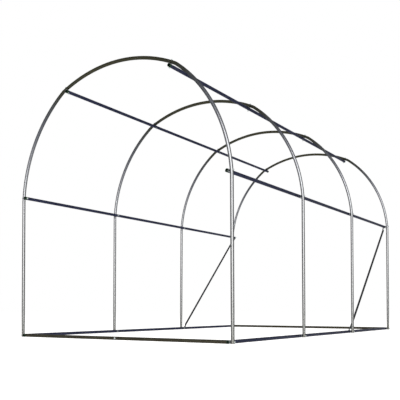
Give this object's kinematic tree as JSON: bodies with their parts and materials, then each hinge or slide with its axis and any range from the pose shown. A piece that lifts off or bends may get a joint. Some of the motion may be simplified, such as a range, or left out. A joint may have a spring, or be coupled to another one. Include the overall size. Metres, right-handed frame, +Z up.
{
  "type": "polytunnel greenhouse frame",
  "caption": "Bare walk-in polytunnel frame: round-topped steel tube hoops joined by purlins, shoulder rails and ground sills, with diagonal braces in the last bay.",
  "frame": {"origin": "on the ground at the middle of the tunnel's footprint", "axes": "+Z up, +Y along the tunnel from front to back, +X to the right seen from the front"},
  "size_m": [2.0172, 3.4444, 2.062],
  "materials": {
    "leg_tube": "satin",
    "shoulder_tube": "satin",
    "crown_tube": "satin",
    "rail_tube": "satin",
    "cross_sill_tube": "satin",
    "brace_tube": "satin",
    "bolts": "satin",
    "saddles": "satin",
    "end_plugs": "matte"
  },
  "bodies": {
    "root": {"hoop_1_left_leg": "leg_tube", "hoop_1_right_leg": "leg_tube", "hoop_1_left_shoulder": "shoulder_tube", "hoop_1_right_shoulder": "shoulder_tube", "hoop_1_crown": "crown_tube", "hoop_1_bolts": "bolts", "hoop_1_saddles": "saddles", "hoop_2_left_leg": "leg_tube", "hoop_2_right_leg": "leg_tube", "hoop_2_left_shoulder": "shoulder_tube", "hoop_2_right_shoulder": "shoulder_tube", "hoop_2_crown": "crown_tube", "hoop_2_bolts": "bolts", "hoop_2_saddles": "saddles", "hoop_3_left_leg": "leg_tube", "hoop_3_right_leg": "leg_tube", "hoop_3_left_shoulder": "shoulder_tube", "hoop_3_right_shoulder": "shoulder_tube", "hoop_3_crown": "crown_tube", "hoop_3_bolts": "bolts", "hoop_3_saddles": "saddles", "hoop_4_left_leg": "leg_tube", "hoop_4_right_leg": "leg_tube", "hoop_4_left_shoulder": "shoulder_tube", "hoop_4_right_shoulder": "shoulder_tube", "hoop_4_crown": "crown_tube", "hoop_4_bolts": "bolts", "hoop_4_saddles": "saddles", "left_side_sill": "rail_tube", "right_side_sill": "rail_tube", "left_shoulder_rail": "rail_tube", "right_shoulder_rail": "rail_tube", "left_purlin": "rail_tube", "right_purlin": "rail_tube", "front_sill": "cross_sill_tube", "front_sill_plugs": "end_plugs", "front_sill_bolt": "bolts", "back_sill": "cross_sill_tube", "back_sill_plugs": "end_plugs", "back_sill_bolt": "bolts", "left_brace": "brace_tube", "right_brace": "brace_tube"}
  },
  "joints": []
}
